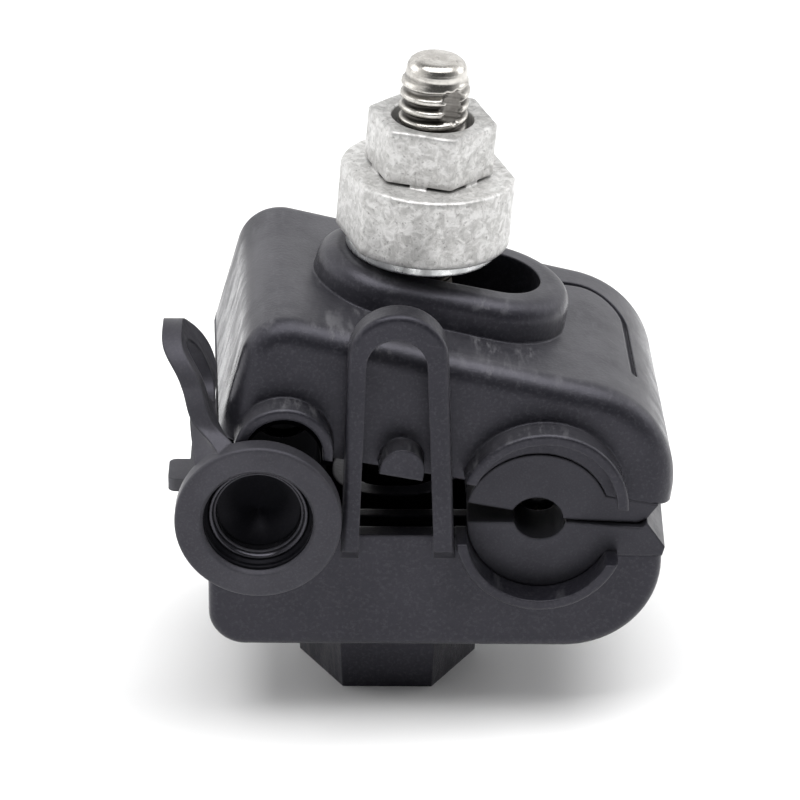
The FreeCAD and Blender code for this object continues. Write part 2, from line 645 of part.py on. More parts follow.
def make_upper_body():
    """Upper jaw: a drafted, rounded hood with the slotted oval boss on its roof."""
    face = UPPER_HALF_DEPTH
    body = xz_prism(upper_outline(0), -30, 30)
    body = body.common(drafted_slab(face, UPPER_BOTTOM, UPPER_TOP_LEFT + 1))
    crease = []
    for edge in body.Edges:
        middle = edge.valueAt((edge.FirstParameter + edge.LastParameter) / 2)
        if abs(middle.y) > face - 2 and edge.BoundBox.ZMax > UPPER_BOTTOM + 1:
            crease.append(edge)
    body = body.makeFillet(UPPER_EDGE, crease)
    groove = shoulder_groove(body)
    hollow = xz_prism(upper_outline(WALL), -30, 30)
    hollow.translate(Vector(0, 0, WALL - ROOF))
    hollow = hollow.common(drafted_slab(face - WALL, UPPER_BOTTOM - 2, UPPER_TOP_LEFT + 1))
    body = body.cut(hollow)
    body = body.cut(groove)

    inside = xz_prism(upper_outline(WALL / 2), -30, 30)
    inside = inside.common(drafted_slab(face - WALL / 2, UPPER_BOTTOM + 2, UPPER_TOP_LEFT + 1))
    tunnel = oval_prism(SLOT_RADIUS + TUNNEL_WALL, UPPER_BOTTOM + 2, BOSS_TOP - BOSS_EDGE)
    additions = [oval_boss(), tunnel]
    for seat in blade_seat(UPPER_BLADE_TOP, UPPER_BLADE_TOP - POST_GRIP, UPPER_BOTTOM + 2, UPPER_TOP_LEFT):
        additions.append(seat.common(inside))

    rings = (
        (MAIN_X, MAIN_COLLAR_Z, MAIN_COLLAR_RADIUS, MAIN_COLLAR_WALL),
        (TAP_COLLAR_X, TAP_COLLAR_Z, TAP_COLLAR_RADIUS, TAP_COLLAR_WALL))
    for x, z, radius, wall in rings:
        ring = collar(x, z, radius, wall, UPPER_COLLAR_BOTTOM, 60, face, UPPER_REACH)
        additions.append(both_ends(ring))

    half = NUB_WIDTH / 2
    nub_top = NUB_BOTTOM + NUB_HEIGHT
    additions.append(xz_prism([
        (NUB_X - half, NUB_BOTTOM, 0), (NUB_X + half, NUB_BOTTOM, 0),
        (NUB_X + half, nub_top, half - 0.01),
        (NUB_X - half, nub_top, half - 0.01)], -face - UPPER_REACH, -face + WALL / 2))
    body = body.multiFuse(additions)

    body = body.cut(oval_prism(SLOT_RADIUS, UPPER_BOTTOM - 1, BOSS_TOP + 2))
    deep = face + 0.01
    body = body.cut(bar(MAIN_X, UPPER_SEAL_Z, MAIN_SEAL_RADIUS + SEAL_FIT, -deep, deep))
    body = body.cut(bar(TAP_X, TAP_SPLIT + JAW_GAP, TAP_SEAL_RADIUS + SEAL_FIT, -deep, deep))
    body = body.cut(block(MAIN_X + 2, UPPER_RIGHT + 5, -30, 30, UPPER_BOTTOM - 1, TAIL_TOP_Z))
    return body.removeSplitter()


def make_clamp_bolt():
    """Hexagon head bolt with a chamfered end; its thread is left plain."""
    head_top = BOLT_HEAD_BOTTOM + BOLT_HEAD_HEIGHT
    corner = BOLT_HEAD_FLATS / math.sqrt(3)
    head = hex_prism(BOLT_HEAD_FLATS, BOLT_HEAD_BOTTOM, head_top)
    crown = Part.makeCone(BOLT_HEAD_FLATS / 2 * 0.95, corner + 2, 3.2, Vector(0, 0, BOLT_HEAD_BOTTOM))
    crown = crown.fuse(rod(corner + 2, BOLT_HEAD_BOTTOM + 3.2, head_top + 1))
    head = head.common(crown)
    shank = rod(BOLT_RADIUS, head_top - 0.5, head_top + BOLT_LENGTH)
    tip = edges_at(shank, lambda p: p.z > head_top + BOLT_LENGTH - 0.01)
    shank = shank.makeChamfer(BOLT_TIP_CHAMFER, tip)
    return head.fuse(shank).removeSplitter()


def make_flat_washer():
    """Plain washer."""
    low = BOLT_PIVOT_Z + WASHER_HEIGHT
    high = low + WASHER_THICKNESS
    disc = rod(WASHER_RADIUS, low, high)
    disc = disc.makeFillet(0.3, edges_at(disc, lambda p: p.z < low + 0.01 or p.z > high - 0.01))
    return disc.cut(rod(WASHER_BORE, low - 1, high + 1))


def make_shear_nut():
    """Cast nut: round barrel with two flats, a thin neck, and the hexagon that shears off."""
    low = BOLT_PIVOT_Z + WASHER_HEIGHT + WASHER_THICKNESS
    neck = low + NUT_BARREL
    hex_low = neck + NUT_NECK
    top = hex_low + NUT_HEX
    barrel = rod(NUT_RADIUS, low, neck)
    barrel = barrel.makeFillet(NUT_EDGE, edges_at(barrel, lambda p: p.z < low + 0.01 or p.z > neck - 0.01))
    between = block(-NUT_FLATS / 2, NUT_FLATS / 2, -20, 20, low - 1, neck + 1)
    between.rotate(Vector(0, 0, 0), Vector(0, 0, 1), 30 + NUT_TURN)
    barrel = barrel.common(between)
    head = hex_prism(NUT_HEX_FLATS, hex_low, top, NUT_TURN)
    head = head.makeFillet(NUT_HEX_EDGE, edges_at(head, lambda p: p.z > top - 0.01))
    nut = barrel.multiFuse([rod(NUT_NECK_RADIUS, neck - 0.1, hex_low + 0.1), head])
    nut = nut.cut(rod(NUT_THREAD_RADIUS, low - 1, top + 1))
    nut = nut.cut(rod(NUT_CLEARANCE_RADIUS, neck - 0.4, top + 1))
    return nut.removeSplitter()


def strap_section(station):
    """Flat section of the strap at one station, turned about a vertical line."""
    x, y, z, width, turn = station
    along = Vector(math.cos(math.radians(turn)), -math.sin(math.radians(turn)), 0) * (width / 2)
    across = Vector(math.sin(math.radians(turn)), math.cos(math.radians(turn)), 0)
    across = across * (STRAP_THICKNESS / 2)
    middle = Vector(x, y, z)
    corners = [middle + along + across, middle - along + across,
               middle - along - across, middle + along - across]
    return Part.makePolygon(corners + [corners[0]])


def cap_strap():
    """Twisted strap of the cap with its slotted, round ended tab."""
    strap = Part.makeLoft([strap_section(station) for station in STRAP_STATIONS], True, False)
    middle = STRAP_STATIONS[-1][1]
    radius = STRAP_STATIONS[-1][3] / 2
    crown_z = STRAP_TOP - radius
    dome = Part.makeCylinder(radius + 0.1, 40, Vector(-40, middle, crown_z), Vector(1, 0, 0))
    strap = strap.common(dome.fuse(block(-40, 0, -40, 10, 0, crown_z)))
    half = STRAP_SLOT_WIDTH / 2
    low = Part.makeCylinder(half, 40, Vector(-40, STRAP_SLOT_Y, STRAP_SLOT_LOW + half), Vector(1, 0, 0))
    high = Part.makeCylinder(half, 40, Vector(-40, STRAP_SLOT_Y, STRAP_SLOT_HIGH - half), Vector(1, 0, 0))
    gap = block(-40, 0, STRAP_SLOT_Y - half, STRAP_SLOT_Y + half,
                STRAP_SLOT_LOW + half, STRAP_SLOT_HIGH - half)
    return strap.cut(low.multiFuse([high, gap]))


def cap_lip(front):
    """Lower lip of the cap, a piece of a tube that lies on the floor of the tap groove."""
    z = TAP_SPLIT - CAP_LIP_FIT
    radius = TAP_GROOVE - CAP_LIP_FIT
    lip = bar(TAP_X, z, radius, front, CAP_LIP_END)
    lip = lip.cut(bar(TAP_X, z, radius - CAP_LIP_WALL, front - 1, CAP_LIP_END + 1))
    return lip.common(block(CAP_LIP_LEFT, TAP_X + 10, front, CAP_LIP_END, z - 10, CAP_LIP_TOP))


def make_end_cap():
    """Rubber sleeve of the tap groove: flange, stepped bore, lower lip and twisted strap."""
    flange_back = CAP_FRONT + CAP_FLANGE
    hub_back = -HALF_DEPTH - LOWER_REACH
    relief_y = hub_back - CAP_HUB_RELIEF
    x = CAP_CENTRE_X
    z = CAP_CENTRE_Z
    flange = bar(x, z, CAP_RADIUS, CAP_FRONT, flange_back)
    flange = flange.makeFillet(0.4, flange.Edges[:1] + flange.Edges[2:])
    hub = bar(x, z, CAP_HUB_RADIUS, flange_back - 0.5, hub_back)
    hub = hub.cut(block(x - 10, x + 10, relief_y, hub_back + 1, LOWER_COLLAR_TOP + 2, z + 10))
    cap = flange.multiFuse([hub, cap_lip(flange_back), cap_strap()])
    cap = cap.cut(bar(x, z, CAP_MOUTH, CAP_FRONT - 1, flange_back))
    wide = CAP_MOUTH + CAP_BEVEL
    bevel = Part.makeCone(wide, CAP_MOUTH, CAP_BEVEL, Vector(x, CAP_FRONT, z), Vector(0, 1, 0))
    cap = cap.cut(bevel)
    cap = cap.cut(bar(x, z, CAP_BORE, CAP_FRONT, hub_back + 0.5))
    return cap.removeSplitter()


def main():
    """Builds every node and writes one STEP file for each."""
    os.makedirs("parts", exist_ok=True)
    nodes = {
        "lower_body": make_lower_body(),
        "upper_body": swing(make_upper_body()),
        "clamp_bolt": lean(make_clamp_bolt()),
        "flat_washer": lean(make_flat_washer()),
        "shear_nut": lean(make_shear_nut()),
        "main_seal_lower": make_main_seal_lower(),
        "main_seal_upper": swing(make_main_seal_upper()),
        "tap_seal_lower": make_tap_seal_lower(),
        "tap_seal_upper": swing(make_tap_seal_upper()),
        "front_blade_lower": make_blade(-1, 1),
        "rear_blade_lower": make_blade(1, 1),
        "front_blade_upper": swing(make_blade(-1, -1)),
        "rear_blade_upper": swing(make_blade(1, -1)),
        "end_cap": make_end_cap(),
    }
    for name, shape in nodes.items():
        box = shape.BoundBox
        print(name, shape.isValid(), len(shape.Solids), round(shape.Volume, 1),
              [round(v, 1) for v in (box.XMin, box.XMax, box.YMin, box.YMax, box.ZMin, box.ZMax)])
        shape.exportStep("parts/" + name + ".step")


main()
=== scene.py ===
import math

import bpy
import numpy as np
from mathutils import Matrix


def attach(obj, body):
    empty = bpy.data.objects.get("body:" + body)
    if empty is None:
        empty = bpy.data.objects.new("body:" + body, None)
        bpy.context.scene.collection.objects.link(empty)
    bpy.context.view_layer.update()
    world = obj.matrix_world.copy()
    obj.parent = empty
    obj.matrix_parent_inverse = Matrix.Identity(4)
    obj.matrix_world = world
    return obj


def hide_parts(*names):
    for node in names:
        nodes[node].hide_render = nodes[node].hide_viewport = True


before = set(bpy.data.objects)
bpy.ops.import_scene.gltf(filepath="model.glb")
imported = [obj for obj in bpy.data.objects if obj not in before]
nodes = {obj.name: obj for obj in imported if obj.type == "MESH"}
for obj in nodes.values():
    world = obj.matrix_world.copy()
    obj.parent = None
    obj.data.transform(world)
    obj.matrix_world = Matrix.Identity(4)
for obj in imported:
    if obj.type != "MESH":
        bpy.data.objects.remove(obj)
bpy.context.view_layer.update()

# Lower jaw
# Black nylon filled with short glass fibres, injection moulded in one piece with its
# hexagonal foot, the two collars at each end and the upright latch loop. The skin is
# spark eroded, a little faded by light, and rubbed paler along its edges.
nylon_shade = (0.0056, 0.0056, 0.0080, 1)
nylon_faded = (0.0105, 0.0102, 0.0138, 1)
nylon_rubbed = (0.060, 0.059, 0.066, 1)
nylon_grain = 2600.0
nylon_pits = 0.00006
chalk = (0.125, 0.124, 0.130, 1)


def new_group(name, inputs, masks):
    """Empty shader group: numbers in, with their starts, and masks and a rounded normal out."""
    group = bpy.data.node_groups.new(name, "ShaderNodeTree")
    for label, start in inputs.items():
        socket = group.interface.new_socket(label, in_out="INPUT", socket_type="NodeSocketFloat")
        socket.default_value = start
    for label in masks:
        group.interface.new_socket(label, in_out="OUTPUT", socket_type="NodeSocketFloat")
    group.interface.new_socket("Rounded", in_out="OUTPUT", socket_type="NodeSocketVector")
    return group, group.nodes.new("NodeGroupInput"), group.nodes.new("NodeGroupOutput")


def join(tree, start, end):
    """Wire from one (node, socket) to another."""
    tree.links.new(start[0].outputs[start[1]], end[0].inputs[end[1]])


def feed(tree, value, node, socket):
    """Sets an input to a number or a colour, or wires it to a (node, socket)."""
    if isinstance(value, tuple) and isinstance(value[0], bpy.types.Node):
        join(tree, value, (node, socket))
    else:
        node.inputs[socket].default_value = value


def math_of(tree, kind, *values, clamp=False):
    """Math node of one to three values, each a number or a (node, socket)."""
    node = tree.nodes.new("ShaderNodeMath")
    node.operation = kind
    node.use_clamp = clamp
    for place, value in enumerate(values):
        feed(tree, value, node, place)
    return (node, 0)


def product_of(tree, first, second):
    """First times second."""
    return math_of(tree, "MULTIPLY", first, second)


def ramp_of(tree, value, low, high):
    """Value stretched smoothly from 0 at low to 1 at high."""
    node = tree.nodes.new("ShaderNodeMapRange")
    node.interpolation_type = "SMOOTHSTEP"
    node.inputs["From Min"].default_value = low
    node.inputs["From Max"].default_value = high
    join(tree, value, (node, "Value"))
    return (node, 0)


def noise_of(tree, place, scale, detail=4.0, roughness=0.55, distortion=0.0):
    """Noise in the object's own coordinates, features about 1 / scale metres across."""
    node = tree.nodes.new("ShaderNodeTexNoise")
    feed(tree, scale, node, "Scale")
    node.inputs["Detail"].default_value = detail
    node.inputs["Roughness"].default_value = roughness
    node.inputs["Distortion"].default_value = distortion
    join(tree, place, (node, "Vector"))
    return (node, "Fac")


def stretched(tree, place, scale, turn=(0.0, 0.0, 0.0)):
    """Coordinates scaled and turned, so that noise on them is drawn out along one line."""
    node = tree.nodes.new("ShaderNodeMapping")
    node.inputs["Scale"].default_value = scale
    node.inputs["Rotation"].default_value = turn
    join(tree, place, (node, "Vector"))
    return (node, "Vector")


def axis_of(tree, vector, axis):
    """The X, Y or Z of a vector."""
    node = tree.nodes.new("ShaderNodeSeparateXYZ")
    join(tree, vector, (node, "Vector"))
    return (node, axis)


def blend_of(tree, amount, first, second):
    """Colour between first and second by amount; each is plain or a (node, socket)."""
    node = tree.nodes.new("ShaderNodeMix")
    node.data_type = "RGBA"
    for place, value in ((0, amount), (6, first), (7, second)):
        feed(tree, value, node, place)
    return (node, 2)


def rounded_edge(tree, radius):
    """Normal rounded over a radius, and 1 less its dot product with the true normal."""
    rounded = tree.nodes.new("ShaderNodeBevel")
    rounded.samples = 6
    join(tree, radius, (rounded, "Radius"))
    facing = tree.nodes.new("ShaderNodeVectorMath")
    facing.operation = "DOT_PRODUCT"
    join(tree, (rounded, "Normal"), (facing, 0))
    join(tree, (tree.nodes.new("ShaderNodeNewGeometry"), "Normal"), (facing, 1))
    turned = math_of(tree, "SUBTRACT", 1.0, (facing, "Value"), clamp=True)
    return (rounded, "Normal"), turned


def build_moulded_skin():
    """Skin of moulded nylon and rubber: pitted grain, clouds, scuffs, streaks, painted top light,
    edges.

    Grain is noise at the grain size and cloud is noise thirty times larger. A scuff is
    noise drawn out along a slanted line, kept where a broad noise is high and the face
    looks up. A streak is noise drawn out upright, kept on the end walls. The top light mask
    is the share that faces up, less where the cloud is low: painted top light, which makes
    the faces that look up paler. Edge is how far the normal rounded over the edge radius
    turns from the true one, broken up by noise.
    """
    masks = ["Grain", "Cloud", "Scuff", "Streak", "Painted top light", "Edge"]
    tree, inward, outward = new_group(
        "moulded skin", {"Grain size": nylon_grain, "Edge radius": 0.0004}, masks)
    where = tree.nodes.new("ShaderNodeTexCoord")
    place = (where, "Object")
    facing_x = axis_of(tree, (where, "Normal"), "X")
    facing_z = axis_of(tree, (where, "Normal"), "Z")
    broad = noise_of(tree, place, 85.0, 6.0, 0.68)

    slanted = stretched(tree, place, (1.0, 0.22, 1.0), (0.4, 0.9, 0.3))
    lines = ramp_of(tree, noise_of(tree, slanted, 720.0, 6.0, 0.74), 0.49, 0.66)
    area = ramp_of(tree, noise_of(tree, place, 120.0, 3.0), 0.44, 0.60)
    on_top = product_of(tree, area, ramp_of(tree, facing_z, 0.30, 0.75))

    upright = stretched(tree, place, (1.0, 1.0, 0.20))
    drawn = ramp_of(tree, noise_of(tree, upright, 330.0, 7.0, 0.78), 0.40, 0.60)
    end_wall = ramp_of(tree, math_of(tree, "ABSOLUTE", facing_x), 0.72, 0.95)

    rounded, turned = rounded_edge(tree, (inward, "Edge radius"))
    edge = ramp_of(tree, turned, 0.01, 0.16)
    patchy = ramp_of(tree, noise_of(tree, place, 420.0), 0.35, 0.7)

    for label, value in {
            "Grain": noise_of(tree, place, (inward, "Grain size"), 3.0, 0.65),
            "Cloud": ramp_of(tree, broad, 0.34, 0.70),
            "Scuff": product_of(tree, lines, on_top),
            "Streak": product_of(tree, drawn, end_wall),
            # Painted top light: faces that look up are made paler.
            "Painted top light": product_of(
                tree, ramp_of(tree, facing_z, 0.45, 0.95), ramp_of(tree, broad, 0.20, 0.60)),
            "Edge": product_of(tree, edge, patchy),
            "Rounded": rounded}.items():
        join(tree, value, (outward, label))
    return tree


moulded_skin = build_moulded_skin()


def finish_of(name):
    """New material with its tree and its Principled BSDF."""
    material = bpy.data.materials.new(name)
    material.use_nodes = True
    return material, material.node_tree, material.node_tree.nodes["Principled BSDF"]


def skin_of(tree, group, size_name, size):
    """A skin group placed in a material, at its own grain or patch size."""
    skin = tree.nodes.new("ShaderNodeGroup")
    skin.node_tree = group
    skin.inputs[size_name].default_value = size
    return skin


def raise_bumps(tree, height, rounded, strength, depth, shader):
    """Bumps of a height, in metres of depth, on the rounded normal, put on the shader."""
    bump = tree.nodes.new("ShaderNodeBump")
    bump.inputs["Strength"].default_value = strength
    bump.inputs["Distance"].default_value = depth
    join(tree, height, (bump, "Height"))
    join(tree, rounded, (bump, "Normal"))
    join(tree, (bump, "Normal"), (shader, "Normal"))


def moulded_finish(name, shade, faded, rubbed, grain_size, rough, depth, edge_share, scuff_share,
                   mirror=0.45, top_light_share=0.0):
    """Moulded plastic or rubber in its own shade, clouded towards faded and rubbed at edges.

    Colour runs from shade to faded by the cloud, then towards rubbed by the specks of the
    grain, the streaks, the painted top light on faces that look up and the edges, and
    towards chalk by the scuffs.
    Clouds and streaks are also smoother, and scuffs rougher.
    """
    material, tree, shader = finish_of(name)
    skin = skin_of(tree, moulded_skin, "Grain size", grain_size)
    speck = ramp_of(tree, (skin, "Grain"), 0.46, 0.74)
    colour = blend_of(tree, (skin, "Cloud"), shade, faded)
    # The fourth blend is painted top light, paling the faces that look up.
    for mask, share, tint in (
            (speck, 0.30, rubbed), ((skin, "Scuff"), scuff_share, chalk),
            ((skin, "Streak"), 0.5, rubbed), ((skin, "Painted top light"), top_light_share, rubbed),
            ((skin, "Edge"), edge_share, rubbed)):
        colour = blend_of(tree, product_of(tree, mask, share), colour, tint)
    join(tree, colour, (shader, "Base Color"))
    roughness = rough
    for mask, change in (("Cloud", -0.10), ("Scuff", 0.18), ("Streak", -0.17)):
        roughness = math_of(tree, "MULTIPLY_ADD", (skin, mask), change, roughness)
    join(tree, roughness, (shader, "Roughness"))
    raise_bumps(tree, (skin, "Grain"), (skin, "Rounded"), 0.5, depth, shader)
    shader.inputs["Specular IOR Level"].default_value = mirror
    shader.inputs["Specular Tint"].default_value = (0.88, 0.86, 1.0, 1)
    return material


def wear(node, material):
    """Puts one finish on a node of the clamp."""
    nodes[node].data.materials.clear()
    nodes[node].data.materials.append(material)


jaw_nylon = moulded_finish(
    "jaw nylon", nylon_shade, nylon_faded, nylon_rubbed, nylon_grain, rough=0.45,
    depth=nylon_pits, edge_share=0.45, scuff_share=0.14, mirror=0.40)
wear("lower_body", jaw_nylon)

# Upper jaw
# Same nylon and the same mould maker's grain. Its hood has been handled more, so the
# crown of the boss and the shoulders are scuffed. Painted top light also makes its faces
# that look up a shade paler than the flanks.
# Painted top light at 0.45 pales the hood's faces that look up.
hood_nylon = moulded_finish(
    "hood nylon", (0.0058, 0.0058, 0.0082, 1), (0.0135, 0.0132, 0.0165, 1), nylon_rubbed,
    nylon_grain, rough=0.43, depth=nylon_pits, edge_share=0.55, scuff_share=0.62, mirror=0.41,
    top_light_share=0.45)
wear("upper_body", hood_nylon)

# Groove seals
# Four halves of softer black rubber, pressed into the jaws. They are smoother than the
# nylon, slightly greasy, and paler where the mould parted.
seal_grain = 4200.0
# Near black painted shade for the tap seals inside the clamp.
painted_shade_black = (0.0022, 0.0023, 0.0032, 1)
seal_rubber = moulded_finish(
    "seal rubber", (0.0070, 0.0070, 0.0090, 1), (0.0120, 0.0120, 0.0145, 1),
    (0.045, 0.045, 0.049, 1), seal_grain, rough=0.47, depth=0.00002, edge_share=0.3,
    scuff_share=0.12)
for half in ("main_seal_lower", "main_seal_upper"):
    wear(half, seal_rubber)


def tap_rubber_finish():
    """Pale dry rubber that turns near black inside the clamp, as painted shade: the share rises
    with X.
    """
    material = moulded_finish(
        "tap rubber", (0.080, 0.079, 0.087, 1), (0.100, 0.099, 0.108, 1),
        (0.140, 0.139, 0.147, 1), seal_grain, rough=0.92, depth=0.00002, edge_share=0.3,
        scuff_share=0.0, mirror=0.02)
    tree = material.node_tree
    shader = tree.nodes["Principled BSDF"]
    dry = shader.inputs["Base Color"].links[0].from_socket
    place = (tree.nodes.new("ShaderNodeTexCoord"), "Object")
    inside = ramp_of(tree, axis_of(tree, place, "X"), -0.0205, -0.0195)
    # Painted shade: the seal turns near black where it lies inside the clamp.
    shaded_inside = blend_of(tree, inside, (dry.node, dry.name), painted_shade_black)
    join(tree, shaded_inside, (shader, "Base Color"))
    return material


tap_rubber = tap_rubber_finish()
for half in ("tap_seal_lower", "tap_seal_upper"):
    wear(half, tap_rubber)

# End cap
# Moulded in one shot with its strap from a harder rubber, with a dull skin and a rim
# that has been thumbed in and out of its seat. A ribbed throat grips the conductor. The
# throat and its rib are painted far darker than the cap as painted shade, and a thin
# near-black web closes the throat as a sheet of painted shade deep inside the mouth.
cap_grain = 3600.0
throat_centre = (-0.0145, 0.0299)
throat_segments = 180
cap_rubber = moulded_finish(
    "cap rubber", (0.0200, 0.0196, 0.0230, 1), (0.0285, 0.0280, 0.0325, 1),
    (0.070, 0.069, 0.075, 1), cap_grain, rough=0.56, depth=0.00002, edge_share=0.35,
    scuff_share=0.15)
wear("end_cap", cap_rubber)
# Painted shade: the throat and its web are ten times darker than the cap rubber.
throat_shade_rubber = moulded_finish(
    "throat rubber", (0.0020, 0.0021, 0.0030, 1), (0.0030, 0.0031, 0.0042, 1),
    (0.016, 0.016, 0.018, 1), seal_grain, rough=0.50, depth=0.00001, edge_share=0.2,
    scuff_share=0.1, mirror=0.10)
# Painted shade: the rib in the mouth is far darker than the cap rubber.
rib_shade_rubber = moulded_finish(
    "rib rubber", (0.0040, 0.0040, 0.0050, 1), (0.0080, 0.0080, 0.0095, 1),
    (0.040, 0.040, 0.044, 1), cap_grain, rough=0.24, depth=0.00001, edge_share=0.2,
    scuff_share=0.2, mirror=0.6)


def ring_quads(rings, around, closed):
    """Quads between neighbouring rings of points, also from the last to the first if closed."""
    index = np.arange(rings * around).reshape(rings, around)
    farther = np.roll(index, -1, 0)
    if not closed:
        index, farther = index[:-1], farther[:-1]
    return np.stack([
        index, np.roll(index, -1, 1), np.roll(farther, -1, 1), farther], 2).reshape(-1, 4)


def end_caps(rings, around, first_centre, last_centre):
    """Two centre points, with fans to the first and the last ring of a grid."""
    count = rings * around
    first = np.arange(around)
    last = first + count - around
    floor = np.stack([np.roll(first, -1), first, np.full(around, count)], 1)
    lid = np.stack([last, np.roll(last, -1), np.full(around, count + 1)], 1)
    return np.array([first_centre, last_centre], float), np.vstack([floor, lid])


def add_piece(name, points, faces, material, slot, body):
    """Smooth mesh object at the origin from an array of points and a list of arrays of faces."""
    mesh = bpy.data.meshes.new(name)
    mesh.from_pydata(points.tolist(), [], [face for part in faces for face in part.tolist()])
    mesh.validate()
    mesh.update()
    mesh.polygons.foreach_set("use_smooth", [True] * len(mesh.polygons))
    mesh.materials.append(material)
    piece = bpy.data.objects.new(name, mesh)
    bpy.context.scene.collection.objects.link(piece)
    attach(piece, body)
    return piece


def turned_rubber(profile):
    """Closed ring turned about the cap's axis from (radius, depth) points in millimetres."""
    profile = np.array(profile) / 1000
    angles = np.linspace(0, 2 * np.pi, throat_segments, endpoint=False)[None, :]
    x = throat_centre[0] + profile[:, :1] * np.cos(angles)
    z = throat_centre[1] + profile[:, :1] * np.sin(angles)
    y = profile[:, 1:] + np.zeros_like(x)
    points = np.stack([x, y, z], 2).reshape(-1, 3)
    return points, [ring_quads(len(profile), throat_segments, True)]


# The throat ring; the disc at its inner end is a web of painted shade.
throat_ring = turned_rubber([
    (6.17, -23.95), (6.13, -23.60), (6.10, -22.80), (6.06, -22.62), (5.84, -22.50),
    (5.70, -22.30), (5.00, -21.90), (4.86, -21.80), (4.82, -21.20), (4.78, -20.80),
    (4.70, -20.70), (0.02, -20.70), (0.02, -20.50), (4.80, -20.50), (4.84, -20.60),
    (4.84, -21.70), (6.19, -22.01), (6.19, -23.93)])
add_piece("cap_throat", *throat_ring, throat_shade_rubber, "cap_rubber", "lower")
rib_ring = turned_rubber([
    (5.66, -22.34), (5.56, -22.50), (5.44, -22.54), (5.30, -22.47), (5.14, -22.28), (4.96, -21.92),
    (4.80, -21.50), (4.72, -21.15), (4.68, -20.96), (4.72, -20.84), (4.96, -20.82),
    (4.98, -21.75), (5.30, -22.10)])
add_piece("cap_rib", *rib_ring, rib_shade_rubber, "cap_rubber", "lower")


# Contact blades
# Copper strip, stamped with rows of teeth and tinned, so it is a warm silver. The half
# beside the tap groove is painted near black, as painted shade inside the clamp.
def tinned_finish():
    """Tin in two clouded tones, turning to near black painted shade as X falls."""
    material, tree, shader = finish_of("tinned copper")
    place = (tree.nodes.new("ShaderNodeTexCoord"), "Object")
    cloud = ramp_of(tree, noise_of(tree, place, 300.0), 0.3, 0.7)
    unshaded = ramp_of(tree, axis_of(tree, place, "X"), -0.0080, -0.0050)
    tin = blend_of(tree, cloud, (0.55, 0.50, 0.42, 1), (0.68, 0.65, 0.60, 1))
    # Painted shade: near black on the tap side of the blades.
    join(tree, blend_of(tree, unshaded, (0.010, 0.010, 0.011, 1), tin), (shader, "Base Color"))
    roughness = math_of(tree, "MULTIPLY_ADD", cloud, 0.12, 0.30)
    join(tree, roughness, (shader, "Roughness"))
    shader.inputs["Metallic"].default_value = 1.0
    return material


tinned_copper = tinned_finish()
for blade in ("front_blade_lower", "rear_blade_lower", "front_blade_upper", "rear_blade_upper"):
    wear(blade, tinned_copper)


# Clamping bolt
# M8 hexagon head bolt of zinc plated steel with a rolled thread. Its head sits in the
# foot, its tip is turned to a low dome, and one side of the thread has been crushed.
spanner_width = 0.013
bolt_pivot = (0.0, 0.0, 0.004)
bolt_lean = math.radians(4.3)
bolt_foot = 0.0012
bolt_head_height = 0.0053
shank_length = 0.0699
bolt_neck = bolt_foot + bolt_head_height
bolt_top = bolt_neck + shank_length
thread_radius = 0.00393
thread_depth = 0.00078
thread_pitch = 0.0015
thread_start = (0.0290, 0.0305)
thread_end_drop = (0.0013, 0.0026)
# Drop from the tip below which the shank is painted dark, as painted shade under the nut.
shade_drop = (0.018, 0.024)
crush_angle = -0.98
crush_drop = 0.00465
crush_half_turn = 0.36
crush_half_height = 0.00195
crush_chord = 0.00345


def leaned(points):
    """Points beside an upright bolt, turned about Y through its pivot as the clamp lies."""
    moved = points - np.array(bolt_pivot)
    x = moved[:, 0] * math.cos(bolt_lean) + moved[:, 2] * math.sin(bolt_lean)
    z = moved[:, 2] * math.cos(bolt_lean) - moved[:, 0] * math.sin(bolt_lean)
    return np.stack([x, moved[:, 1], z], 1) + np.array(bolt_pivot)


def turned_points(angles, radii, heights):
    """Points of a turned body: x is radius times cosine, y is radius times sine, z is height."""
    x = radii * np.cos(angles)
    y = radii * np.sin(angles)
    return np.stack([x, y, heights + np.zeros_like(x)], 2).reshape(-1, 3)


def smooth_step(value, low, high):
    """Rises from 0 at low to 1 at high as three squares less two cubes."""
    share = np.clip((value - low) / (high - low), 0, 1)
    return share * share * (3 - 2 * share)


def turn_from_crush(angles):
    """Turn from the middle of the crushed patch, within half a turn either way."""
    return (angles - crush_angle + np.pi) % (2 * np.pi) - np.pi


def crushed_side(angles, heights):
    """1 on the crushed patch: a rounded square in turn and height, with a wavy border."""
    turn = turn_from_crush(angles)
    rise = heights - (bolt_top - crush_drop)
    half_turn = crush_half_turn + (
        0.06 * np.sin(heights * 5200.0) + 0.04 * np.sin(heights * 11000.0 + 1.0))
    half_height = crush_half_height + 0.0002 * np.sin(turn * 17.0)
    reach = (turn / half_turn) ** 4 + (rise / half_height) ** 4
    return 1 - smooth_step(reach, 0.75, 1.15)


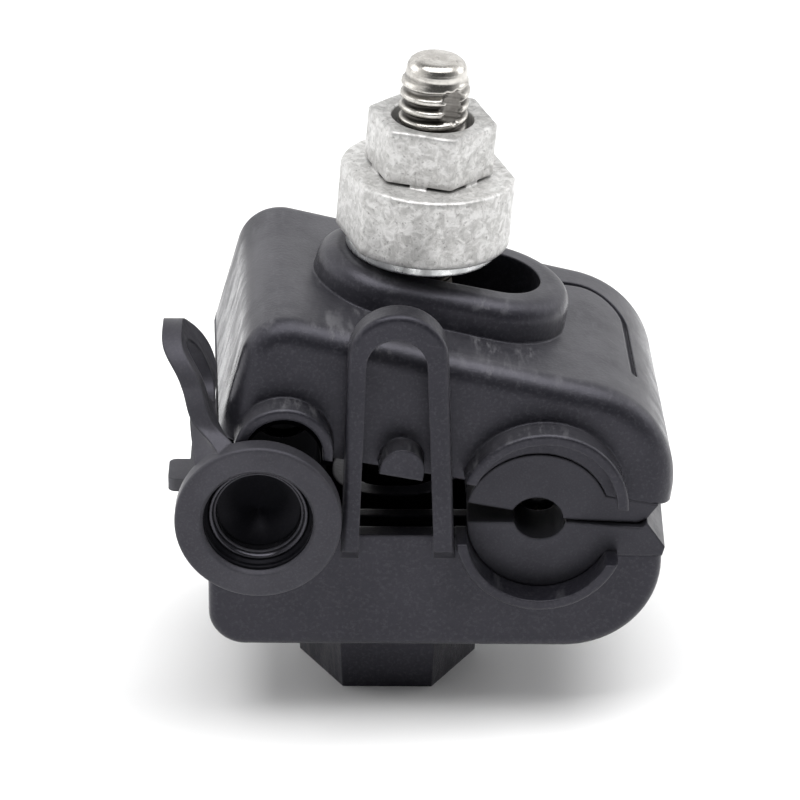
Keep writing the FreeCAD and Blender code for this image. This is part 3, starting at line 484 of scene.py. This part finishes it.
def threaded_shank():
    """Shank with a thread: the radius falls by a rounded triangle wave of height minus turn.

    The wave is one cycle for each pitch of height and each full turn. It fades in above the
    plain neck and out below the tip, whose radius follows a low dome with turned rings. The
    crushed patch pulls the radius to a chord across the thread. The third result marks the
    crushed patch, which is soiled, and paints shade into the roots and all below the nut.
    """
    around = 120
    rows = 640
    low = bolt_neck - 0.0001
    angles = np.linspace(0, 2 * np.pi, around, endpoint=False)[None, :]
    heights = np.linspace(low, bolt_top, rows)[:, None] + np.zeros((1, around))
    drop = bolt_top - heights
    phase = (heights / thread_pitch - angles / (2 * np.pi)) % 1.0
    wave = smooth_step(np.abs(phase * 2 - 1), 0.25, 0.88)
    grown = smooth_step(heights, *thread_start) * smooth_step(drop, *thread_end_drop)
    dome_drop = np.array([0, 0.00008, 0.00025, 0.0005, 0.0009, 0.0014, 0.0019, 0.0024, 0.0029])
    dome_radius = np.array([2.25, 2.62, 2.92, 3.16, 3.36, 3.46, 3.48, 3.72, 3.93]) / 1000
    dome = np.interp(drop, dome_drop, dome_radius) + 0.00002 * np.sin(drop * 17000.0)
    radii = np.minimum(thread_radius - thread_depth * wave * grown, dome)
    crush = crushed_side(angles, heights)
    turn = turn_from_crush(angles)
    dents = 0.00005 * np.sin(heights * 9000.0 + turn * 9)
    chord = crush_chord / np.cos(np.clip(turn, -0.6, 0.6)) + dents
    radii = radii * (1 - crush) + np.minimum(chord, thread_radius) * crush
    # Painted shade in the roots of the thread.
    root = smooth_step(wave * grown, 0.10, 0.55) * (0.45 + 0.5 * smooth_step(drop, 0.0028, 0.0048))
    # The crushed patch is real soiling.
    soiled_and_shaded = np.maximum(root * (1 - crush), 0.74 * crush)
    # Painted shade on all of the shank below the nut.
    soiled_and_shaded = np.maximum(soiled_and_shaded, smooth_step(drop, *shade_drop))
    points = turned_points(angles, radii, heights)
    centres, fans = end_caps(rows, around, (0, 0, low), (0, 0, bolt_top + 0.00004))
    return leaned(np.vstack([points, centres])), [ring_quads(rows, around, False), fans], soiled_and_shaded


def hexagon_radius(angles, flats, turn, corner_cut):
    """Distance to a hexagon's side in each direction, held within the corner cut."""
    sector = (angles - turn) % (np.pi / 3) - np.pi / 6
    return np.minimum(flats / 2 / np.cos(sector), corner_cut)


def hexagon_head():
    """Forged head: rings of a hexagon whose corners are cut by a cone at the bottom.

    Each step is the greatest radius and the height above the head's foot, in millimetres.
    """
    around = 192
    angles = np.linspace(0, 2 * np.pi, around, endpoint=False)[None, :]
    steps = [(6.0, 0.0), (6.3, 0.05), (6.6, 0.3), (7.45, 1.4), (7.45, 4.9), (7.2, 5.2), (6.6, 5.3)]
    radii = np.vstack(
        [hexagon_radius(angles, spanner_width, 0.0, reach / 1000) for reach, _ in steps])
    heights = np.array([[bolt_foot + rise / 1000] for _, rise in steps])
    points = turned_points(angles, radii, heights)
    centres, fans = end_caps(len(steps), around, (0, 0, bolt_foot), (0, 0, bolt_neck))
    return leaned(np.vstack([points, centres])), [ring_quads(len(steps), around, False), fans]


def build_plated_metal():
    """Zinc plating or casting: bright and dull patches, short scratches, specks and edges.

    Patches are warped noise of the patch size, scratches are noise drawn out along one
    line, specks are the high ends of a fine noise, and height is patches and specks. Edge
    is how far the normal rounded over the edge radius turns from the true one.
    """
    masks = ["Patch", "Scratch", "Speck", "Edge", "Height"]
    tree, inward, outward = new_group(
        "plated metal", {"Patch size": 500.0, "Edge radius": 0.0003}, masks)
    place = (tree.nodes.new("ShaderNodeTexCoord"), "Object")
    patch = noise_of(tree, place, (inward, "Patch size"), 7.0, 0.68, 0.7)
    drawn = stretched(tree, place, (1.0, 1.0, 0.12), (0.5, 0.3, 0.2))
    speck = noise_of(tree, place, 2300.0, 3.0, 0.7)
    rounded, turned = rounded_edge(tree, (inward, "Edge radius"))
    for label, value in {
            "Patch": ramp_of(tree, patch, 0.36, 0.64),
            "Scratch": ramp_of(tree, noise_of(tree, drawn, 3800.0, 3.0), 0.52, 0.72),
            "Speck": ramp_of(tree, speck, 0.56, 0.72),
            "Edge": ramp_of(tree, turned, 0.008, 0.12),
            "Height": math_of(tree, "ADD", patch, product_of(tree, speck, 0.5)),
            "Rounded": rounded}.items():
        join(tree, value, (outward, label))
    return tree


plated_metal = build_plated_metal()


def metal_finish(name, bright, dull, dark, patch_size, rough, depth, speck_share, metallic=1.0,
                 wear_and_shade_mark=None, wear_and_shade_colour=(0.02, 0.02, 0.02, 1)):
    """Metal in bright and dull patches with dark specks, rougher where it is dull.

    Scratches and edges go back to the bright colour. A mark of wear and painted shade is an
    attribute of the mesh that turns the surface to its dark colour, and duller, where it is 1.
    """
    material, tree, shader = finish_of(name)
    skin = skin_of(tree, plated_metal, "Patch size", patch_size)
    colour = blend_of(tree, (skin, "Patch"), dull, bright)
    for mask, share, tint in (
            ("Speck", speck_share, dark), ("Scratch", 0.3, bright), ("Edge", 0.6, bright)):
        colour = blend_of(tree, product_of(tree, (skin, mask), share), colour, tint)
    roughness = math_of(tree, "MULTIPLY_ADD", (skin, "Patch"), -0.14, rough)
    if wear_and_shade_mark is not None:
        # Wear and painted shade: the mark darkens and dulls the metal.
        mark = tree.nodes.new("ShaderNodeAttribute")
        mark.attribute_name = wear_and_shade_mark
        colour = blend_of(tree, (mark, "Fac"), colour, wear_and_shade_colour)
        roughness = math_of(tree, "MULTIPLY_ADD", (mark, "Fac"), 0.22, roughness)
    join(tree, colour, (shader, "Base Color"))
    join(tree, roughness, (shader, "Roughness"))
    shader.inputs["Metallic"].default_value = metallic
    raise_bumps(tree, (skin, "Height"), (skin, "Rounded"), 0.4, depth, shader)
    return material


def mark_points(piece, name, values):
    """Gives a mesh one number a point, 0 for the points past the end of the values."""
    marks = np.zeros(len(piece.data.vertices), np.float32)
    marks[:values.size] = values.ravel()
    piece.data.attributes.new(name, "FLOAT", "POINT").data.foreach_set("value", marks)


# The dark mark is the soiled crushed patch, and painted shade in the roots and below the nut.
plated_steel = metal_finish(
    "plated steel", (0.64, 0.62, 0.585, 1), (0.46, 0.44, 0.41, 1), (0.16, 0.15, 0.145, 1),
    patch_size=420.0, rough=0.30, depth=0.00002, speck_share=0.45, wear_and_shade_mark="soiled_and_shaded",
    wear_and_shade_colour=(0.045, 0.040, 0.036, 1))
shank_points, shank_faces, soiled_and_shaded = threaded_shank()
shank = add_piece("bolt_shank", shank_points, shank_faces, plated_steel, "bolt_steel", "bolt")
mark_points(shank, "soiled_and_shaded", soiled_and_shaded)
head = add_piece("bolt_head", *hexagon_head(), plated_steel, "bolt_steel", "bolt")
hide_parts("clamp_bolt")
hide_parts("clamp_bolt")
wear("clamp_bolt", plated_steel)

# Flat washer
# Plain zinc plated steel washer, punched from sheet, lying under the nut.
washer_steel = metal_finish(
    "washer steel", (0.66, 0.67, 0.67, 1), (0.50, 0.51, 0.51, 1), (0.22, 0.22, 0.22, 1),
    patch_size=500.0, rough=0.36, depth=0.00002, speck_share=0.25)
wear("flat_washer", washer_steel)

# Shear head nut
# Die cast in zinc alloy and tumbled, so it is pale, mottled and soft at its corners. The
# hexagon stands on six short bridges and snaps off there when the clamp is tight.
washer_seat = 0.05315
washer_thickness = 0.0014
barrel_height = 0.0084
barrel_radius = 0.010
barrel_flat = 0.0091
slit_height = 0.00035
slit_floor = 0.0059
hexagon_height = 0.0062
hexagon_corner = 0.0074
bridge_half_turn = 0.16
bore_side = 0.0055
nut_low = washer_seat + washer_thickness
nut_neck = nut_low + barrel_height
nut_hexagon = nut_neck + slit_height
nut_top = nut_hexagon + hexagon_height
nut_turn = math.radians(-10.6)


def cast_ripple(angles, heights):
    """Waves of a tumbled casting, some 20 micrometres deep: three crossed sines, inwards."""
    first = np.sin(angles * 5 + heights * 900.0)
    second = np.sin(angles * 11 - heights * 1700.0 + 1.3)
    third = np.sin(angles * 23 + heights * 3100.0 + 0.4)
    return -0.00002 - 0.00001 * (first + second * 0.6 + third * 0.4)


def nut_casting():
    """Closed ring of a profile that runs up the outside and down the bore.

    The barrel is a circle cut by two flats, the hexagon is a hexagon with eased corners,
    and between them the radius steps in to a slit, except at the bridge in the middle of
    each side. The last result is 1 inside the slits, painting them black as painted shade,
    and a little on the top face, which it darkens.
    """
    around = 480
    angles = np.linspace(0, 2 * np.pi, around, endpoint=False)[None, :]
    flat_turn = angles - nut_turn - math.pi / 6
    barrel = np.minimum(barrel_radius, barrel_flat / np.maximum(np.abs(np.cos(flat_turn)), 0.2))
    hexagon = hexagon_radius(angles, spanner_width, nut_turn, hexagon_corner)
    sector = np.abs((angles - nut_turn) % (np.pi / 3) - np.pi / 6)
    open_slit = smooth_step(sector, bridge_half_turn - 0.02, bridge_half_turn + 0.02)
    slit = hexagon + (slit_floor - hexagon) * open_slit
    flank = np.linspace(0, 1, 14)[1:-1]
    rows = [
        (barrel - 0.00060, nut_low), (barrel - 0.00035, nut_low + 0.00003),
        (barrel - 0.00012, nut_low + 0.00014), (barrel - 0.00002, nut_low + 0.00034)]
    rows += [(barrel, nut_low + 0.0004 + share * (barrel_height - 0.0008)) for share in flank]
    rows += [
        (barrel - 0.00001, nut_neck - 0.00034), (barrel - 0.00010, nut_neck - 0.00012),
        (barrel - 0.00034, nut_neck - 0.00001), (barrel - 0.00060, nut_neck - 0.00002),
        (barrel - 0.00110, nut_neck - 0.00010), (hexagon + 0.00025, nut_neck - 0.00006),
        (hexagon + 0.00006, nut_neck), (slit + 0.00003, nut_neck + 0.00001),
        (slit, nut_neck + 0.00003), (slit, nut_hexagon - 0.00003),
        (slit + 0.00003, nut_hexagon - 0.00001), (hexagon - 0.00006, nut_hexagon),
        (hexagon, nut_hexagon + 0.00008)]
    rows += [
        (hexagon, nut_hexagon + 0.0001 + share * (hexagon_height - 0.0006)) for share in flank]
    rows += [
        (hexagon - 0.00001, nut_top - 0.00034), (hexagon - 0.00009, nut_top - 0.00013),
        (hexagon - 0.00030, nut_top - 0.00001), (hexagon - 0.00060, nut_top - 0.00003),
        (hexagon - 0.00110, nut_top - 0.00012), (0.00500, nut_top - 0.00016),
        (0.00478, nut_top - 0.00022), (0.00468, nut_top - 0.00045),
        (0.00466, nut_neck + 0.0001), (0.00456, nut_neck - 0.0004),
        (0.00402, nut_neck - 0.0006), (0.00400, nut_low + 0.0004), (0.00440, nut_low)]
    radii = np.vstack([reach + np.zeros_like(angles) for reach, _ in rows])
    heights = np.array([[height] for _, height in rows]) + np.zeros_like(radii)
    outside = radii > bore_side
    radii = radii + np.where(outside, cast_ripple(angles, heights), 0)
    level = (heights > nut_top - 0.0002) | ((heights > nut_neck - 0.00015) & (heights <= nut_neck))
    heights = heights + np.where(level & outside, cast_ripple(angles * 2 + 1, radii), 0)
    # Painted shade: the slits are painted black.
    dark = ((heights > nut_neck + 0.000005) & (heights < nut_hexagon - 0.000005)) * open_slit
    # Darker a little on the top face.
    top_darkening = 0.22 + 0.07 * np.sin(angles * 7 + radii * 4000.0) + 0.04 * np.sin(angles * 19)
    dark = np.maximum(dark, (heights > nut_top - 0.0002) * (radii > 0.0045) * top_darkening)
    points = leaned(turned_points(angles, radii, heights))
    return points, [ring_quads(len(rows), around, True)], dark


# The slit mark paints near black shade into the slits and darkens the top face a little.
nut_zinc = metal_finish(
    "nut zinc", (0.64, 0.635, 0.625, 1), (0.42, 0.415, 0.405, 1), (0.17, 0.165, 0.16, 1),
    patch_size=900.0, rough=0.46, depth=0.00008, speck_share=0.7, metallic=0.55,
    wear_and_shade_mark="slit", wear_and_shade_colour=(0.004, 0.004, 0.004, 1))
casting_points, casting_faces, slit_shade_values = nut_casting()
casting = add_piece("nut_casting", casting_points, casting_faces, nut_zinc, "nut_zinc", "nut")
mark_points(casting, "slit", slit_shade_values)
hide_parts("shear_nut")
wear("shear_nut", nut_zinc)

# Studio
# White table in a white room, brightest at the back and on the left, and darker overhead
# and in front, where the camera stands. One wide soft box hangs overhead, a little in
# front, and a small one stands at each side.
floor_mesh = bpy.data.meshes.new("floor")
floor_mesh.from_pydata(
    [(-3, -2, 0), (3, -2, 0), (3, 4, 0), (-3, 4, 0)], [], [(0, 1, 2, 3)])
floor = bpy.data.objects.new("floor", floor_mesh)
bpy.context.scene.collection.objects.link(floor)
paper, _, paper_shader = finish_of("white paper")
paper_shader.inputs["Base Color"].default_value = (0.90, 0.90, 0.90, 1)
paper_shader.inputs["Roughness"].default_value = 0.9
floor_mesh.materials.append(paper)

room = bpy.data.worlds.new("white room")
room.use_nodes = True
room_tree = room.node_tree
direction = (room_tree.nodes.new("ShaderNodeTexCoord"), "Generated")
leftwards = product_of(room_tree, axis_of(room_tree, direction, "X"), -1.0)
downwards = product_of(room_tree, axis_of(room_tree, direction, "Z"), -1.0)
back_share = ramp_of(room_tree, axis_of(room_tree, direction, "Y"), -0.70, 0.40)
left_share = ramp_of(room_tree, leftwards, 0.35, 0.95)
low_share = ramp_of(room_tree, downwards, -0.95, -0.50)
bright_share = math_of(room_tree, "MAXIMUM", back_share, left_share)
glow = math_of(
    room_tree, "MULTIPLY_ADD", product_of(room_tree, bright_share, low_share), 1.10, 0.08)
join(room_tree, glow, (room_tree.nodes["Background"], "Strength"))
room_tree.nodes["Background"].inputs["Color"].default_value = (1, 1, 1, 1)
bpy.context.scene.world = room


def soft_box(name, place, towards, width, height, power):
    """Rectangular area light at place, facing the point towards."""
    light = bpy.data.lights.new(name, "AREA")
    light.shape = "RECTANGLE"
    light.size = width
    light.size_y = height
    light.energy = power
    lamp = bpy.data.objects.new(name, light)
    bpy.context.scene.collection.objects.link(lamp)
    aim = np.array(towards, float) - np.array(place, float)
    aim = aim / np.linalg.norm(aim)
    side = np.cross(aim, (0, 0, 1.0))
    side = side / np.linalg.norm(side)
    up = np.cross(side, aim)
    lamp.matrix_world = Matrix(
        [[side[i], up[i], -aim[i], place[i]] for i in range(3)] + [[0, 0, 0, 1]])


soft_box("top box", (0.05, -0.14, 0.80), (0, 0, 0.03), width=1.1, height=0.6, power=10.6)
soft_box("left box", (-0.60, 0.10, 0.30), (0, 0, 0.04), width=0.5, height=0.5, power=0.8)
soft_box("right box", (0.60, 0.20, 0.30), (0, 0, 0.04), width=0.4, height=0.4, power=0.8)

camera_place = (0.001351, -0.518228, 0.294914)
camera_tilt = Matrix.Rotation(math.radians(63.2), 4, "X")
camera_roll = Matrix.Rotation(math.radians(0.3), 4, "Z")
camera = bpy.data.cameras.new("camera")
camera.lens = 225.0
camera.sensor_width = 36.0
camera.clip_end = 20.0
camera_stand = bpy.data.objects.new("camera", camera)
bpy.context.scene.collection.objects.link(camera_stand)
camera_stand.matrix_world = Matrix.Translation(camera_place) @ camera_tilt @ camera_roll
bpy.context.scene.camera = camera_stand
bpy.context.scene.view_settings.view_transform = "Standard"
